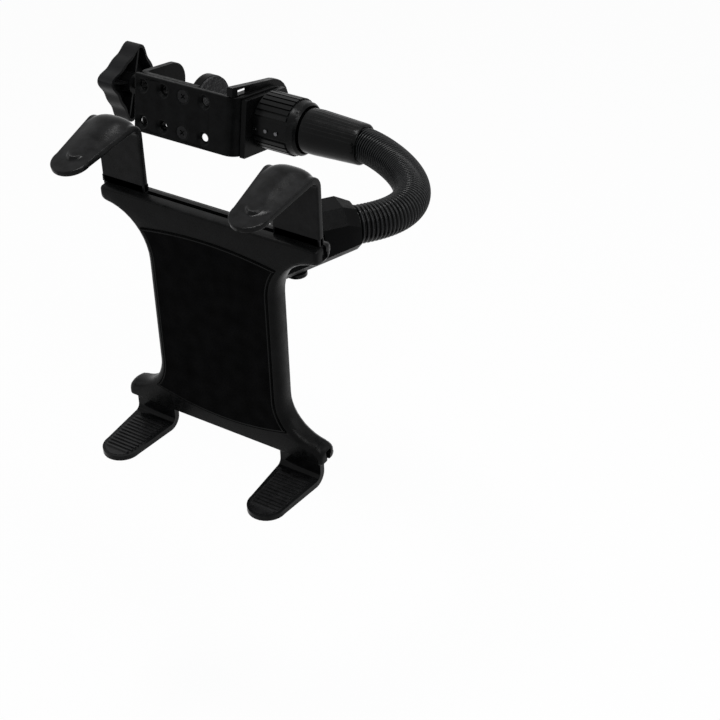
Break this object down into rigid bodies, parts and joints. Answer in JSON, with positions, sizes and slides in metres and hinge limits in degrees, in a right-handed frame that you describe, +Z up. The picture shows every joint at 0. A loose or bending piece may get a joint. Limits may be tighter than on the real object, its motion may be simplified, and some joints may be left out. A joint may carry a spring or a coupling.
{
  "type": "tablet holder",
  "caption": "Clamp-on tablet holder: hourglass cradle with sliding hooks and feet, pan knuckle, corrugated flexible neck and a screw clamp of two angle brackets.",
  "frame": {"origin": "middle of the front face of the pad that the tablet leans on", "axes": "+X to the tablet's right seen from the front, +Y from the pad towards the arm and the clamp, +Z up along the cradle"},
  "size_m": [0.299, 0.2752, 0.2104],
  "materials": {
    "cradle_plastic": "black satin moulded plastic",
    "claw_plastic": "black satin moulded plastic",
    "pad_rubber": "matt black soft pad",
    "grip_rubber": "matt black ribbed rubber",
    "facing_rubber": "dull dark grey rubber",
    "knuckle_plastic": "black satin moulded plastic",
    "knob_plastic": "black satin moulded plastic",
    "neck_plastic": "black corrugated plastic",
    "core_metal": "dull aluminium",
    "bracket_metal": "black coated steel, satin",
    "dark_steel": "blackened steel",
    "bright_steel": "plated steel"
  },
  "bodies": {
    "clamp": {"outer_bracket": "bracket_metal", "inner_bracket": "bracket_metal", "bracket_screws": "dark_steel", "bracket_nuts": "dark_steel", "fixed_jaw": "knuckle_plastic", "jaw_facing": "facing_rubber", "thread_bush": "bright_steel", "swivel_base": "knuckle_plastic", "base_screws": "dark_steel", "hub_screw": "bright_steel"},
    "lock_collar": {"collar": "knuckle_plastic", "collar_studs": "bright_steel"},
    "pressure_pad": {"pressure_plate": "knob_plastic", "pressure_facing": "facing_rubber"},
    "screw_and_knob": {"clamp_screw": "bright_steel", "knob": "knob_plastic"},
    "arm": {"arm_sleeve": "knuckle_plastic", "neck_cover": "neck_plastic", "neck_core": "core_metal", "socket": "knuckle_plastic", "pivot_bolt": "dark_steel", "pivot_nut": "dark_steel"},
    "knuckle": {"rear_bracket": "knuckle_plastic", "pivot_washer": "bright_steel", "pivot_screw": "bright_steel"},
    "cradle": {"front_frame": "cradle_plastic", "rear_cover": "cradle_plastic", "front_pad": "pad_rubber", "cover_screws": "dark_steel"},
    "left_hook": {"hook_left": "claw_plastic"},
    "right_hook": {"hook_right": "claw_plastic"},
    "left_foot": {"foot_left": "claw_plastic", "foot_grip_left": "grip_rubber"},
    "right_foot": {"foot_right": "claw_plastic", "foot_grip_right": "grip_rubber"}
  },
  "joints": [
    {"name": "arm_swivel", "type": "hinge", "parent": "clamp", "child": "arm", "pos_m": [-0.07, 0.195, 0.028], "axis": [1, 0, 0], "range_deg": [-120, 120]},
    {"name": "collar_turn", "type": "hinge", "parent": "clamp", "child": "lock_collar", "pos_m": [-0.08, 0.195, 0.028], "axis": [1, 0, 0], "range_deg": [-15, 90]},
    {"name": "pad_travel", "type": "slide", "parent": "clamp", "child": "pressure_pad", "axis": [1, 0, 0], "range_m": [-0.026, 0.0205]},
    {"name": "screw_turn", "type": "hinge", "parent": "pressure_pad", "child": "screw_and_knob", "pos_m": [-0.17, 0.195, 0.028], "axis": [1, 0, 0], "range_deg": [-4680, 3690]},
    {"name": "knuckle_pan", "type": "hinge", "parent": "arm", "child": "knuckle", "pos_m": [0.0205, 0.0575, 0.038], "axis": [0, 0, 1], "range_deg": [-50, 30]},
    {"name": "cradle_turn", "type": "hinge", "parent": "knuckle", "child": "cradle", "pos_m": [0, 0.02, 0], "axis": [0, 1, 0], "continuous": true},
    {"name": "left_hook_slide", "type": "slide", "parent": "cradle", "child": "left_hook", "axis": [1, 0, 0], "range_m": [-0.003, 0.045]},
    {"name": "right_hook_slide", "type": "slide", "parent": "cradle", "child": "right_hook", "axis": [1, 0, 0], "range_m": [-0.0415, 0.0065]},
    {"name": "left_foot_slide", "type": "slide", "parent": "cradle", "child": "left_foot", "axis": [1, 0, 0], "range_m": [-0.005, 0.041]},
    {"name": "right_foot_slide", "type": "slide", "parent": "cradle", "child": "right_foot", "axis": [1, 0, 0], "range_m": [-0.037, 0.009]}
  ],
  "couplings": [
    {"joint": "pad_travel", "follows": "screw_turn", "m_per_rad": 0.00031831}
  ]
}
